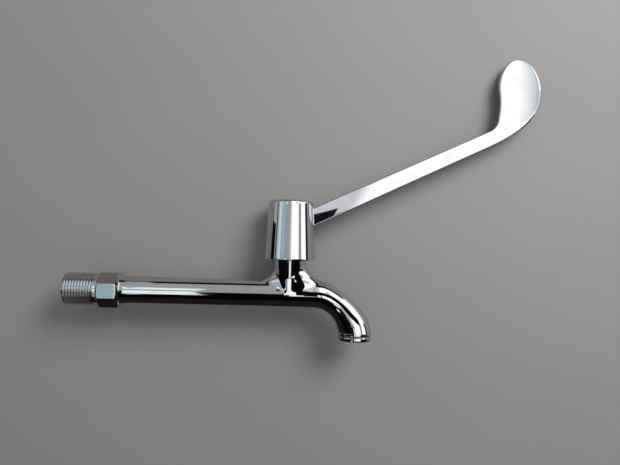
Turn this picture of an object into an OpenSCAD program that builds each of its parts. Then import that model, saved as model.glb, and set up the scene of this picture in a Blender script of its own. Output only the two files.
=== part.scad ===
// Elbow lever tap: a quarter-turn wall tap with a long lever that an elbow or forearm can push.
// Sizes are in millimetres. The origin is the centre of the inlet's end face, +X runs along the
// barrel towards the spout, and +Z runs up the spindle. The lever is drawn closed, over the spout.

/* [Inlet thread] */
// Major diameter of the inlet thread, G 1/2
thread_d = 20.955; // [19:0.005:22]
// Pitch of the inlet thread
thread_pitch = 1.814; // [1.4:0.001:2.4]
// Depth of the inlet thread
thread_depth = 1.162; // [0.8:0.001:1.3]
// Width of the flat on each thread crest
crest_flat = 0.5; // [0.3:0.05:0.6]
// Length of the threaded end
thread_len = 20.5; // [12:0.5:22]
// Plain length between the thread and the spanner collar
thread_runout = 1.5; // [1:0.5:8]
// Bore of the inlet waterway
inlet_bore = 11; // [8:0.5:12]

/* [Spanner collar] */
// Width across the flats of the octagonal collar
collar_af = 22.3; // [21.5:0.1:27]
// Length of the collar
collar_len = 14.3; // [8:0.2:16]
// How far the turned bevel runs in along the corners at each end of the collar
collar_bevel = 1.4; // [0.6:0.1:3]
// Length of the cove that runs down from the collar to the barrel
cove_len = 5.5; // [3:0.2:12]

/* [Barrel and neck] */
// Outside diameter of the barrel
barrel_d = 17.8; // [16.5:0.1:19]
// Distance from the inlet's end face to the spindle's axis
stem_x = 144; // [110:1:180]
// Outside diameter of the neck that carries the headwork
neck_d = 19.8; // [19.4:0.1:22]
// Height of the neck's rim above the barrel's axis
neck_top = 26; // [24:0.5:30]
// Fillet between the neck and the barrel
back_fillet = 9; // [5:0.5:12]
// Fillet between the neck and the spout
front_fillet = 14; // [8:0.5:16]

/* [Valve seat] */
// Metal between the inlet waterway and the seat
seat_web = 3; // [2:0.1:4]
// Port through the seat
seat_port = 7; // [5:0.1:7.4]
// Chamber around the headwork's snout
chamber_d = 16; // [15:0.1:16.4]
// Passage from the chamber down to the spout
passage_d = 6; // [4:0.1:6.5]

/* [Spout] */
// Distance from the spindle's axis to the start of the bend
bend_start = 14.9; // [13:0.1:20]
// Distance from the spindle's axis to the outlet's axis
spout_reach = 42.75; // [38:0.25:60]
// Outside diameter of the spout at the middle of its bend
spout_d = 16.6; // [15.5:0.1:17.8]
// Bore of the spout
spout_bore = 10.6; // [8:0.1:11]
// How far the outlet's rim lies below the barrel's axis
spout_drop = 28.7; // [27:0.1:34]
// Slope of the spout's back below the level
spout_slope = 30; // [20:1:40]
// Length of the straight slope on the spout's back
slope_len = 19; // [14:0.5:22]
// Height of the outlet's flare
flare_h = 15.5; // [12:0.5:20]

/* [Outlet collar] */
// Outside diameter of the outlet collar
outlet_d = 21.7; // [20:0.1:24]
// Height of the collar below the spout
outlet_h = 5.2; // [4:0.1:8]
// Bore of the collar's mouth
mouth_d = 12.6; // [11:0.1:13]
// Thread of the collar in the spout
spigot_d = 16.2; // [16:0.1:17]
// Height of the collar's spigot
spigot_h = 3.6; // [3:0.1:6]
// Depth of the groove round the collar
groove_depth = 0.7; // [0.3:0.1:1.2]
// Height of the groove above the collar's rim
groove_rise = 2.9; // [1.6:0.1:3.2]
// Diameter of the flow straightener
straightener_d = 14; // [13.4:0.1:14.2]
// Height of the flow straightener
straightener_h = 3.1; // [2:0.1:5]
// Thickness of the straightener's rim and vanes
vane = 0.8; // [0.5:0.1:1.2]
// Thickness of the outlet washer
outlet_washer_t = 1.4; // [1:0.1:2]

/* [Headwork] */
// Major diameter of the headwork's thread, G 3/8
bonnet_thread_d = 16.662; // [16.4:0.001:17]
// Pitch of the headwork's thread
bonnet_pitch = 1.337; // [1:0.001:1.6]
// Depth of the headwork's thread
bonnet_thread_depth = 0.6; // [0.4:0.01:0.856]
// Length of the headwork's thread
bonnet_thread_len = 7.4; // [5:0.1:8]
// Width across the flats of the headwork's hexagon
bonnet_af = 19; // [18:0.5:20]
// Height of the hexagon
bonnet_hex_h = 6; // [4:0.5:7]
// Outside diameter of the gland above the hexagon
gland_d = 13; // [12:0.5:15]
// Height of the gland
gland_h = 9; // [7:0.5:10]
// Thickness of the sealing ring under the hexagon
bonnet_seal_t = 1; // [0.6:0.1:1.6]
// Outside diameter of the snout that holds the discs
snout_d = 13.6; // [13.4:0.1:14]
// Gap between the snout and the seat
snout_gap = 0.8; // [0.4:0.1:1.2]

/* [Discs] */
// Diameter of the ceramic discs
disc_d = 11; // [10.4:0.1:11]
// Thickness of the fixed disc
fixed_disc_t = 2.6; // [2:0.1:3]
// Thickness of the turning disc
moving_disc_t = 3; // [2.6:0.1:3.4]
// Angle of each port in the fixed disc
port_angle = 78; // [60:1:84]
// Inside radius of the ports
port_in_r = 1.9; // [1.4:0.1:2.4]
// Outside radius of the ports in the fixed disc
port_out_r = 4.4; // [3.6:0.1:4.6]
// Width of the two ears that keep the fixed disc from turning
ear_w = 2.4; // [1.6:0.1:3]
// Height of the rubber seal under the fixed disc
seat_seal_h = 2.6; // [2:0.1:3]
// Wall of the rubber seal
seat_seal_wall = 1.6; // [1:0.1:1.7]
// Wall of the ring that stiffens the rubber seal
support_wall = 0.6; // [0.4:0.1:0.8]

/* [Spindle] */
// Diameter of the spindle
spindle_d = 8; // [7.6:0.1:8.4]
// Thickness of the spindle's foot
foot_t = 3.5; // [3:0.1:4]
// Thickness of the slippery washer over the foot
thrust_washer_t = 0.6; // [0.4:0.1:1]
// Height of the stop lug on the foot
lug_h = 2.2; // [1.6:0.1:2.6]
// Angle of the stop lug
lug_angle = 30; // [20:1:40]
// Quarter turn from closed to open
turn_angle = 90; // [60:1:90]
// Width of the tongue that drives the turning disc
tongue_w = 2.6; // [2:0.1:3]
// Length of the tongue
tongue_len = 8; // [6:0.1:9]
// Depth of the tongue
tongue_depth = 1.6; // [1:0.1:1.8]
// Section of the spindle's sealing rings
oring_d = 1.4; // [1:0.1:1.6]
// Thickness of the retaining clip
clip_t = 0.9; // [0.6:0.1:1.2]
// Outside diameter of the retaining clip
clip_d = 11; // [10:0.1:12]
// Depth of the clip's groove in the spindle
clip_groove = 0.6; // [0.4:0.1:0.8]
// Gap between the retaining clip and the spline
clip_room = 1; // [0.5:0.1:2]
// Opening angle of the retaining clip
clip_gap_angle = 70; // [50:5:110]
// Length of the splined head
spline_len = 8; // [6:0.5:9]
// Depth of the spline's teeth
spline_depth = 0.4; // [0.3:0.05:0.5]

/* [Lever hub] */
// Diameter of the hub's lower rim
hub_bottom_d = 33.6; // [32:0.1:36]
// Diameter of the hub's top, before its edge is rounded
hub_top_d = 28.8; // [27:0.1:32]
// How far the hub's skirt comes down over the neck
skirt_cover = 4; // [2:0.1:6]
// Radius of the hub's top edge
hub_edge = 2.4; // [1:0.1:4]
// Radius of the hub's lower rim
hub_rim = 0.8; // [0.4:0.1:1]
// Wall of the hub
hub_wall = 2.2; // [1.6:0.1:2.6]
// Outside diameter of the splined bush
bush_d = 11; // [10.4:0.1:12]
// Wall of the boss around the bush
boss_wall = 2.2; // [1.6:0.1:2.6]
// Thickness of the plate under the handle screw
plate_t = 2.4; // [2:0.1:3]

/* [Handle screw and cap] */
// Thread of the handle screw, M4
screw_d = 4; // [3:0.5:4]
// Length of the handle screw under its head
screw_len = 11; // [8:0.5:12]
// Diameter of the screw's head
screw_head_d = 8; // [7:0.1:9]
// Height of the screw's head
screw_head_h = 2.2; // [1.6:0.1:2.4]
// Width of the hexagon socket in the screw's head
socket_af = 2.5; // [2:0.5:3]
// Depth of the hexagon socket
socket_depth = 1.5; // [1:0.1:1.6]
// Thickness of the screw's washer
screw_washer_t = 0.8; // [0.5:0.1:1]
// Diameter of the cap in the hub's top
cap_d = 15; // [13:0.1:17]
// Thickness of the cap's rim
cap_t = 1.6; // [1.2:0.1:1.8]
// Rise of the cap's crown above its rim
cap_crown = 0.5; // [0.2:0.1:1]
// Room between the screw's head and the cap
cap_room = 1; // [0.4:0.1:2]

/* [Lever arm] */
// Angle at which the arm rises
arm_rise = 25.2; // [18:0.1:30]
// How far below the hub's top the arm's centre line meets the spindle's axis
arm_drop = 17.4; // [16:0.1:18]
// Width of the arm at the hub
arm_root_w = 11.4; // [9:0.1:11.6]
// Width of the arm where the paddle starts
arm_tip_w = 9.3; // [7:0.1:11]
// Length of the arm from the spindle's axis to the start of the paddle
arm_len = 133; // [90:1:150]
// Thickness of the arm and the paddle
arm_t = 5.4; // [4:0.1:7]
// Rounding of the arm's edges
arm_edge = 0.8; // [0.6:0.1:1.9]
// Distance from the spindle's axis to the end of the arm inside the hub
arm_inset = 11.5; // [11:0.1:13]
// Metal around the arm's socket in the hub
socket_wall = 1.6; // [1.2:0.1:2]

/* [Paddle] */
// Distance from the start of the paddle to its middle, level
paddle_reach = 25.5; // [20:0.1:32]
// Height of the paddle's widest place above the start of the paddle
paddle_rise = 34.9; // [30:0.1:42]
// Width of the paddle
paddle_w = 27.2; // [22:0.1:30]
// Height of the paddle's rounded top above its widest place
paddle_top = 19.5; // [14:0.1:24]
// Lean of the paddle's tip towards the hub
paddle_lean = 1.3; // [0:0.1:3]
// Fillet in the corner between the arm and the paddle
paddle_fillet = 10.4; // [4:0.1:13]
// Fullness of the paddle's outer curve at its widest place
outer_full = 20.5; // [12:0.5:24]
// Fullness of the paddle's outer curve where it leaves the arm
root_full = 25.5; // [12:0.5:28]

/* [Clearances] */
// Running clearance on the radius, spindle in headwork
run_clear = 0.05; // [0.02:0.01:0.1]
// Clearance on the radius of pieces that are fitted together and stay put
fit_clear = 0.05; // [0.02:0.01:0.1]
// Clearance on the radius of turning pieces that only need room
turn_clear = 0.15; // [0.1:0.01:0.3]
// Clearance of the stop lug at each end of its travel, in degrees
stop_clear = 0.6; // [0.3:0.1:2]

/* [Hidden] */

$fn = 72;
chrome = [0.80, 0.82, 0.84];
brass = [0.78, 0.63, 0.33];
rubber = [0.12, 0.12, 0.13];
ceramic = [0.93, 0.92, 0.88];
nylon = [0.88, 0.89, 0.90];
steel = [0.66, 0.67, 0.69];

// Overrun of a cut past the face that it opens
cut = 1;
// Steps of a rounded edge in a turned outline
round_steps = 6;
spline_teeth = 20;
// Steps of the paddle's outer curve, of its rounded top and of its fillet
curve_steps = 14;
top_steps = 10;
fillet_steps = 8;

// Along the barrel
barrel_r = barrel_d / 2;
collar_x = thread_len + thread_runout;
cove_x = collar_x + collar_len;
barrel_x = cove_x + cove_len;
// The end is bevelled up to the first crest
first_crest = 0.45;
crest_count = floor((thread_len - first_crest) / thread_pitch);

// Up the spindle
seat_z = inlet_bore / 2 + seat_web;
snout_z = seat_z + snout_gap;
fixed_disc_z = seat_z + seat_seal_h;
moving_disc_z = fixed_disc_z + fixed_disc_t;
foot_z = moving_disc_z + moving_disc_t;
thrust_z = foot_z + foot_t;
shoulder_z = thrust_z + thrust_washer_t;
thread_z = neck_top - bonnet_thread_len;
hex_z = neck_top + bonnet_seal_t;
gland_z = hex_z + bonnet_hex_h;
clip_z = gland_z + gland_h;
spline_z = clip_z + clip_t + clip_room;
spindle_top = spline_z + spline_len;
plate_z = spindle_top + 2 * turn_clear;
washer_z = plate_z + plate_t;
screw_head_z = washer_z + screw_washer_t;
cap_z = screw_head_z + screw_head_h + cap_room;
hub_bottom_z = neck_top - skirt_cover;
hub_top = cap_z + cap_t;
hub_h = hub_top - hub_bottom_z;
arm_base_z = hub_top - arm_drop;

// Round the spindle
spindle_r = spindle_d / 2;
stem_bore_r = spindle_r + run_clear;
snout_r = snout_d / 2;
disc_bore_r = disc_d / 2 + turn_clear;
bonnet_r = bonnet_thread_d / 2;
bonnet_root_r = bonnet_r - bonnet_thread_depth;
oring_r = stem_bore_r - fit_clear - oring_d / 2;
oring_groove_r = oring_r - oring_d / 2 - fit_clear;
clip_in_r = spindle_r - clip_groove + fit_clear;
lower_oring_z = (shoulder_z + hex_z) / 2;
upper_oring_z = gland_z + gland_h / 2;
boss_r = bush_d / 2 + boss_wall;
screw_tip_z = washer_z + screw_washer_t - screw_len;

// Along the spout
bend_x = stem_x + bend_start;
outlet_x = stem_x + spout_reach;
bend_r = spout_reach - bend_start;
rim_z = -spout_drop;
spout_end_z = rim_z + outlet_h;
spigot_top_z = spout_end_z + spigot_h;
socket_roof_z = spigot_top_z + outlet_washer_t;
straightener_z = spigot_top_z - straightener_h;
// The bend's outside ends inside the flare, above the level cut
bend_end = asin((bend_r + spout_end_z + cut) / (bend_r - spout_d / 2));
// Angle round the bend's centre at which the flare starts
flare_turn = 42;
flare_in = [bend_x + bend_r * cos(flare_turn), bend_r * (sin(flare_turn) - 1)];
flare_out = [outlet_x, spout_end_z];

// Along the arm: the paddle's own points, level and upright
paddle_start = arm_point(arm_len, 0);
paddle_mid = paddle_start + [paddle_reach, paddle_rise];
paddle_in_x = paddle_mid[0] - paddle_w / 2;
paddle_out_x = paddle_mid[0] + paddle_w / 2;
arm_taper = atan((arm_root_w - arm_tip_w) / 2 / (arm_len - arm_inset));
arm_top_slope = arm_rise - arm_taper;

// Point at a distance along the arm's centre line and a shift across it, as [x, z]
function arm_point(along, across) = [
    stem_x + along * cos(arm_rise) - across * sin(arm_rise),
    arm_base_z + along * sin(arm_rise) + across * cos(arm_rise)
];

// Point on a curve with two end points and two handles
function curve_point(a, b, c, d, t) =
    a * pow(1 - t, 3) + b * 3 * t * pow(1 - t, 2) + c * 3 * pow(t, 2) * (1 - t) + d * pow(t, 3);

// Points of an arc round a centre
function arc(centre, r, from, to, steps) =
    [for (i = [0 : steps]) let (a = from + (to - from) * i / steps) centre + r * [cos(a), sin(a)]];

function unit(v) = v / norm(v);
function left_of(v) = [-v[1], v[0]];

// The arm's lower edge and the paddle's outer edge, as [x, z] points from the hub to the paddle's tip
function lower_edge() = let (
    root = arm_point(arm_inset, -arm_root_w / 2),
    tip = arm_point(arm_len, -arm_tip_w / 2),
    outer_end = [paddle_out_x, paddle_mid[1]]
) concat(
    [root],
    [for (i = [0 : curve_steps]) curve_point(
        tip, tip + unit(tip - root) * root_full,
        outer_end - [0, outer_full], outer_end, i / curve_steps)],
    paddle_top_half(1)
);

// The arm's upper edge and the paddle's inner edge, point for point beside the lower edge
function upper_edge() = let (
    root = arm_point(arm_inset, arm_root_w / 2),
    tip = arm_point(arm_len, arm_tip_w / 2),
    corner_z = root[1] + (paddle_in_x - root[0]) * tan(arm_top_slope),
    fillet_z = corner_z + paddle_fillet * tan((90 - arm_top_slope) / 2),
    straight_steps = curve_steps - fillet_steps - 1
) concat(
    [root, tip],
    arc([paddle_in_x - paddle_fillet, fillet_z], paddle_fillet, arm_top_slope - 90, 0, fillet_steps),
    [for (i = [1 : straight_steps])
        [paddle_in_x, fillet_z + (paddle_mid[1] - fillet_z) * i / straight_steps]],
    paddle_top_half(-1)
);

// The paddle's rounded top from its widest place up to, but not with, its tip
function paddle_top_half(side) = [
    for (i = [1 : top_steps - 1]) let (a = 90 * i / top_steps)
        paddle_mid + [side * paddle_w / 2 * cos(a) - paddle_lean * sin(a), paddle_top * sin(a)]
];

// The same outline drawn in by a distance
function drawn_in(points, by) = let (n = len(points)) [
    for (i = [0 : n - 1]) let (
        before = left_of(unit(points[i] - points[(i + n - 1) % n])),
        after = left_of(unit(points[(i + 1) % n] - points[i])),
        middle = unit(before + after)
    ) points[i] + middle * by / (middle * before)
];

// Points of a turned thread as rings, as [r, along], from its start to its end
function thread_rings(r, depth, pitch, flat, start, count) = [
    for (i = [0 : count - 1], p = [
        [r, start + i * pitch],
        [r, start + i * pitch + flat],
        [r - depth, start + i * pitch + (pitch + flat) / 2],
        [r - depth, start + (i + 1) * pitch - (pitch - flat) / 4]
    ]) p
];

// A bend of round bar in the XZ plane, from an angle through a sweep
module bend(centre, path_r, d, from, sweep) {
    translate([centre[0], 0, centre[1]])
        rotate([90, 0, 0])
            rotate([0, 0, from])
                rotate_extrude(angle = sweep)
                    translate([path_r, 0])
                        circle(d = d);
}

// A bar along X that starts at a place on the barrel's axis
module along_x(x) {
    translate([x, 0, 0])
        rotate([0, 90, 0])
            children();
}

// What stands on the spindle's axis at a height
module on_stem(z) {
    translate([stem_x, 0, z])
        children();
}

// A turned ring that stands on its lower face
module ring(out_r, in_r, h) {
    rotate_extrude()
        translate([in_r, 0])
            square([out_r - in_r, h]);
}

// A part of a ring, centred on an angle
module ring_sector(out_r, in_r, h, middle, sweep) {
    rotate([0, 0, middle - sweep / 2])
        rotate_extrude(angle = sweep)
            translate([in_r, 0])
                square([out_r - in_r, h]);
}

// A straight bar in the XZ plane from one point to another, with a diameter at each end
module slanted_bar(from, to, d_from, d_to) {
    way = to - from;
    translate([from[0], 0, from[1]])
        rotate([0, atan2(way[0], way[1]), 0])
            cylinder(d1 = d_from, d2 = d_to, h = norm(way));
}

// Toothed outline of the spline
module spline_outline(r) {
    step = 360 / spline_teeth;
    polygon([
        for (i = [0 : spline_teeth - 1], p = [[0.30, -spline_depth], [0.42, 0], [0.58, 0], [0.70, -spline_depth]])
            (r + p[1]) * [cos((i + p[0]) * step), sin((i + p[0]) * step)]
    ]);
}

// Threaded end, spanner collar and cove, turned about the barrel's axis
module inlet_end() {
    crest_r = thread_d / 2;
    root_r = crest_r - thread_depth;
    along_x(0)
        rotate_extrude()
            polygon(concat(
                [[0, 0], [crest_r - first_crest, 0]],
                thread_rings(crest_r, thread_depth, thread_pitch, crest_flat, first_crest, crest_count),
                [[root_r, collar_x + cut], [0, collar_x + cut]]
            ));
    corner_r = collar_af / 2 / cos(22.5);
    bevel_slope = tan(60);
    end_r = corner_r - collar_bevel * bevel_slope;
    past_r = corner_r + collar_bevel * bevel_slope;
    along_x(collar_x)
        intersection() {
            rotate([0, 0, 22.5])
                cylinder(r = corner_r, h = collar_len, $fn = 8);
            rotate_extrude()
                polygon([
                    [0, 0], [end_r, 0], [past_r, 2 * collar_bevel],
                    [past_r, collar_len - 2 * collar_bevel], [end_r, collar_len], [0, collar_len]
                ]);
        }
    cove_r = min(end_r, collar_af / 2) - barrel_r;
    along_x(cove_x)
        rotate_extrude()
            polygon(concat(
                [[0, 0]],
                [for (a = [0 : 15 : 90]) [barrel_r + cove_r * (1 - sin(a)), cove_len * (1 - cos(a))]],
                [[0, cove_len]]
            ));
}

// Flare of the spout down to the outlet, cut level at its end
module spout_flare() {
    intersection() {
        slanted_bar(flare_in, flare_out, spout_d - 4 * fit_clear, outlet_d - 4 * fit_clear);
        translate([outlet_x - 2 * outlet_d, -outlet_d, spout_end_z])
            cube([4 * outlet_d, 2 * outlet_d, spout_drop + barrel_d]);
    }
    translate([outlet_x, 0, spout_end_z])
        rotate_extrude()
            polygon(concat(
                [[0, 0]],
                [for (a = [0 : 7.5 : 90]) [outlet_d / 2 * cos(a), flare_h * sin(a)]]
            ));
}

// Fillet from the neck down to the spout, and the straight slope that follows it
module spout_back(bar_d) {
    path_r = barrel_r + front_fillet;
    centre = [stem_x + path_r, path_r];
    down = [cos(spout_slope), -sin(spout_slope)];
    out = [sin(spout_slope), cos(spout_slope)];
    slope_start = centre - out * path_r;
    slope_end = slope_start + down * slope_len + out * (bar_d - spout_bore) / 2;
    bend(centre, path_r, bar_d, 180, 90 - spout_slope);
    slanted_bar(slope_start - unit(slope_end - slope_start), slope_end, bar_d - 2 * fit_clear, spout_bore);
}

// Outside of the casting
module body_outside() {
    inlet_end();
    along_x(barrel_x)
        cylinder(d = barrel_d, h = stem_x - barrel_x);
    along_x(stem_x)
        cylinder(d1 = barrel_d, d2 = spout_d, h = bend_start);
    bend([bend_x, -bend_r], bend_r, spout_d, bend_end, 90 - bend_end);
    spout_flare();
    on_stem(0)
        cylinder(d1 = barrel_d - 2 * fit_clear, d2 = neck_d, h = barrel_r);
    on_stem(barrel_r)
        cylinder(d = neck_d, h = neck_top - barrel_r);
    fillet_bar_d = barrel_d - 4 * fit_clear;
    back_path = barrel_r + back_fillet;
    bend([stem_x - back_path, back_path], back_path, fillet_bar_d, 270, 90);
    spout_back(fillet_bar_d);
}

module tap_body() {
    chamber_wall = [stem_x + chamber_d / 2, seat_z + passage_d / 2];
    passage_end = [bend_x + passage_d, 0];
    passage_way = unit(passage_end - chamber_wall);
    color(chrome)
        difference() {
            body_outside();
            along_x(-cut)
                cylinder(d = inlet_bore, h = stem_x + seat_port / 2 + cut);
            on_stem(0)
                cylinder(d = seat_port, h = seat_z + cut);
            on_stem(seat_z)
                cylinder(d = chamber_d, h = thread_z - seat_z);
            on_stem(thread_z - fit_clear)
                cylinder(r = bonnet_r + fit_clear, h = bonnet_thread_len + cut);
            slanted_bar(chamber_wall - passage_way * cut, passage_end, passage_d, passage_d);
            bend([bend_x, -bend_r], bend_r, spout_bore, 0, 90);
            translate([outlet_x, 0, spout_end_z - cut])
                cylinder(r = spigot_d / 2 + fit_clear, h = socket_roof_z - spout_end_z + cut);
        }
}

module outlet_collar() {
    out_r = outlet_d / 2;
    spigot_r = spigot_d / 2;
    mouth_r = mouth_d / 2;
    seat_r = straightener_d / 2 + fit_clear;
    edge = groove_depth / 2;
    color(chrome)
        translate([outlet_x, 0, rim_z])
            rotate_extrude()
                polygon([
                    [mouth_r, 0], [out_r - edge, 0], [out_r, edge],
                    [out_r, groove_rise - groove_depth / 2], [out_r - groove_depth, groove_rise],
                    [out_r, groove_rise + groove_depth / 2], [out_r, outlet_h],
                    [spigot_r, outlet_h], [spigot_r, outlet_h + spigot_h],
                    [seat_r, outlet_h + spigot_h], [seat_r, straightener_z - rim_z],
                    [mouth_r, straightener_z - rim_z]
                ]);
}

module flow_straightener() {
    out_r = straightener_d / 2;
    vane_gap = straightener_d / 5;
    color(nylon)
        translate([outlet_x, 0, straightener_z]) {
            ring(out_r, out_r - vane, straightener_h);
            intersection() {
                cylinder(r = out_r - vane / 2, h = straightener_h);
                for (turn = [0, 90], i = [-1.5 : 1 : 1.5])
                    rotate([0, 0, turn])
                        translate([-out_r, i * vane_gap - vane / 2, 0])
                            cube([2 * out_r, vane, straightener_h]);
            }
        }
}

module outlet_washer() {
    color(rubber)
        translate([outlet_x, 0, spigot_top_z])
            ring(spigot_d / 2, mouth_d / 2, outlet_washer_t);
}

module headwork_body() {
    rings = floor((bonnet_thread_len - bonnet_pitch) / bonnet_pitch);
    hex_r = bonnet_af / 2 / cos(30);
    lug_room_z = thrust_z - lug_h - turn_clear;
    color(brass)
        on_stem(0)
            difference() {
                union() {
                    rotate_extrude()
                        polygon(concat(
                            [[0, snout_z], [snout_r, snout_z], [snout_r, thread_z], [bonnet_root_r, thread_z]],
                            thread_rings(bonnet_r, bonnet_thread_depth, bonnet_pitch, bonnet_pitch / 4,
                                         thread_z + bonnet_pitch / 2, rings),
                            [[bonnet_root_r, hex_z], [0, hex_z]]
                        ));
                    translate([0, 0, hex_z])
                        intersection() {
                            cylinder(r = hex_r, h = bonnet_hex_h, $fn = 6);
                            cylinder(r1 = hex_r, r2 = bonnet_af / 2, h = 2 * bonnet_hex_h);
                        }
                    translate([0, 0, gland_z])
                        cylinder(d = gland_d, h = gland_h);
                }
                translate([0, 0, snout_z - cut])
                    cylinder(r = disc_bore_r, h = shoulder_z - snout_z + cut);
                cylinder(r = stem_bore_r, h = clip_z + cut);
                for (side = [0, 180])
                    translate([0, 0, moving_disc_z])
                        ring_sector(snout_r + cut, disc_bore_r - turn_clear, moving_disc_t, side, port_angle);
                for (side = [90, 270])
                    rotate([0, 0, side])
                        translate([0, -ear_w / 2 - fit_clear, snout_z - cut])
                            cube([snout_r + cut, ear_w + 2 * fit_clear, moving_disc_z - snout_z + cut]);
                translate([0, 0, lug_room_z])
                    ring_sector(snout_r + turn_clear, disc_bore_r - turn_clear, lug_h + 2 * turn_clear,
                                180 - turn_angle / 2, turn_angle + lug_angle + 2 * stop_clear);
            }
}

module headwork_seal() {
    color(rubber)
        on_stem(neck_top)
            ring(neck_d / 2, bonnet_r + fit_clear, bonnet_seal_t);
}

module seat_seal() {
    color(rubber)
        on_stem(seat_z)
            ring(disc_d / 2, disc_d / 2 - seat_seal_wall, seat_seal_h);
}

module seal_support_ring() {
    out_r = disc_d / 2 - seat_seal_wall - fit_clear;
    color(nylon)
        on_stem(seat_z)
            ring(out_r, out_r - support_wall, seat_seal_h);
}

module fixed_disc() {
    color(ceramic)
        on_stem(fixed_disc_z)
            difference() {
                union() {
                    cylinder(d = disc_d, h = fixed_disc_t);
                    intersection() {
                        translate([-ear_w / 2, -snout_r, 0])
                            cube([ear_w, snout_d, fixed_disc_t]);
                        cylinder(r = snout_r - turn_clear, h = fixed_disc_t);
                    }
                }
                for (side = [0, 180])
                    translate([0, 0, -cut])
                        ring_sector(port_out_r, port_in_r, fixed_disc_t + 2 * cut, side, port_angle);
            }
}

module moving_disc() {
    color(ceramic)
        on_stem(moving_disc_z)
            difference() {
                cylinder(d = disc_d, h = moving_disc_t);
                for (side = [90, 270])
                    translate([0, 0, -cut])
                        ring_sector(disc_d / 2 + cut, port_in_r, moving_disc_t + 2 * cut, side, port_angle);
                translate([-tongue_len / 2 - fit_clear, -tongue_w / 2 - fit_clear,
                           moving_disc_t - tongue_depth - fit_clear])
                    cube([tongue_len + 2 * fit_clear, tongue_w + 2 * fit_clear, tongue_depth + cut]);
            }
}

module spindle() {
    color(brass)
        on_stem(0)
            difference() {
                union() {
                    translate([0, 0, foot_z])
                        cylinder(d = disc_d, h = foot_t);
                    translate([-tongue_len / 2, -tongue_w / 2, foot_z - tongue_depth])
                        cube([tongue_len, tongue_w, tongue_depth + cut]);
                    translate([0, 0, thrust_z - lug_h])
                        ring_sector(snout_r - 2 * turn_clear, spindle_r / 2, lug_h, 180, lug_angle);
                    translate([0, 0, foot_z])
                        cylinder(r = spindle_r, h = spline_z - foot_z);
                    translate([0, 0, spline_z])
                        linear_extrude(spline_len)
                            spline_outline(spindle_r - fit_clear);
                }
                for (z = [lower_oring_z, upper_oring_z])
                    translate([0, 0, z - oring_d / 2 - fit_clear])
                        ring(spindle_r + cut, oring_groove_r, oring_d + 2 * fit_clear);
                translate([0, 0, clip_z - fit_clear])
                    ring(spindle_r + cut, spindle_r - clip_groove, clip_t + 2 * fit_clear);
                translate([0, 0, screw_tip_z - cut])
                    cylinder(r = screw_d / 2 + fit_clear, h = spindle_top - screw_tip_z + 2 * cut);
            }
}

module thrust_washer() {
    color(nylon)
        on_stem(thrust_z)
            ring(disc_d / 2, spindle_r + run_clear, thrust_washer_t);
}

module spindle_seal(z) {
    color(rubber)
        on_stem(z)
            rotate_extrude()
                translate([oring_r, 0])
                    circle(d = oring_d);
}

module lower_spindle_seal() {
    spindle_seal(lower_oring_z);
}

module upper_spindle_seal() {
    spindle_seal(upper_oring_z);
}

module retaining_clip() {
    color(steel)
        on_stem(clip_z)
            ring_sector(clip_d / 2, clip_in_r, clip_t, 0, 360 - clip_gap_angle);
}

module splined_bush() {
    color(nylon)
        on_stem(spline_z)
            difference() {
                cylinder(d = bush_d, h = plate_z - spline_z);
                translate([0, 0, -cut])
                    linear_extrude(plate_z - spline_z + 2 * cut)
                        spline_outline(spindle_r);
            }
}

// Bar of the arm's section at the hub, grown by a distance on every side
module arm_bar(grow, from, to) {
    translate([stem_x, 0, arm_base_z])
        rotate([0, -arm_rise, 0])
            translate([from, -arm_t / 2 - grow, -arm_root_w / 2 - grow])
                cube([to - from, arm_t + 2 * grow, arm_root_w + 2 * grow]);
}

module lever_hub() {
    bottom_r = hub_bottom_d / 2;
    top_r = hub_top_d / 2;
    draft = atan((bottom_r - top_r) / hub_h);
    lean = (bottom_r - top_r) / hub_h;
    edge_in = hub_edge * tan((90 - draft) / 2);
    rim_in = hub_rim * tan((90 + draft) / 2);
    ceiling = plate_z - hub_bottom_z;
    counterbore_r = screw_head_d / 2 + 2 * turn_clear;
    color(chrome)
        difference() {
            union() {
                difference() {
                    on_stem(hub_bottom_z)
                        rotate_extrude()
                            polygon(concat(
                                [[0, 0]],
                                arc([bottom_r - rim_in, hub_rim], hub_rim, -90, draft, round_steps),
                                arc([top_r - edge_in, hub_h - hub_edge], hub_edge, draft, 90, round_steps),
                                [[0, hub_h]]
                            ));
                    on_stem(hub_bottom_z - cut)
                        cylinder(r1 = bottom_r - hub_wall + lean * cut, r2 = bottom_r - hub_wall - lean * ceiling,
                                 h = ceiling + cut);
                }
                on_stem(spline_z)
                    cylinder(r = boss_r, h = plate_z - spline_z + cut);
                intersection() {
                    arm_bar(socket_wall, arm_inset - boss_wall, hub_top_d);
                    on_stem(spline_z)
                        cylinder(r1 = top_r + lean * (hub_top - spline_z) - hub_wall / 2,
                                 r2 = top_r + lean * (hub_top - plate_z) - hub_wall / 2, h = plate_z - spline_z + cut);
                }
            }
            on_stem(spline_z - cut)
                cylinder(r = bush_d / 2 + fit_clear, h = plate_z - spline_z + cut);
            on_stem(plate_z - cut)
                cylinder(r = screw_d / 2 + turn_clear, h = plate_t + 2 * cut);
            on_stem(washer_z)
                cylinder(r = counterbore_r, h = cap_z - washer_z + cut);
            on_stem(cap_z)
                cylinder(r = cap_d / 2 + fit_clear, h = cap_t + cut);
            arm_bar(fit_clear, arm_inset - fit_clear, hub_bottom_d);
        }
}

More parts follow.
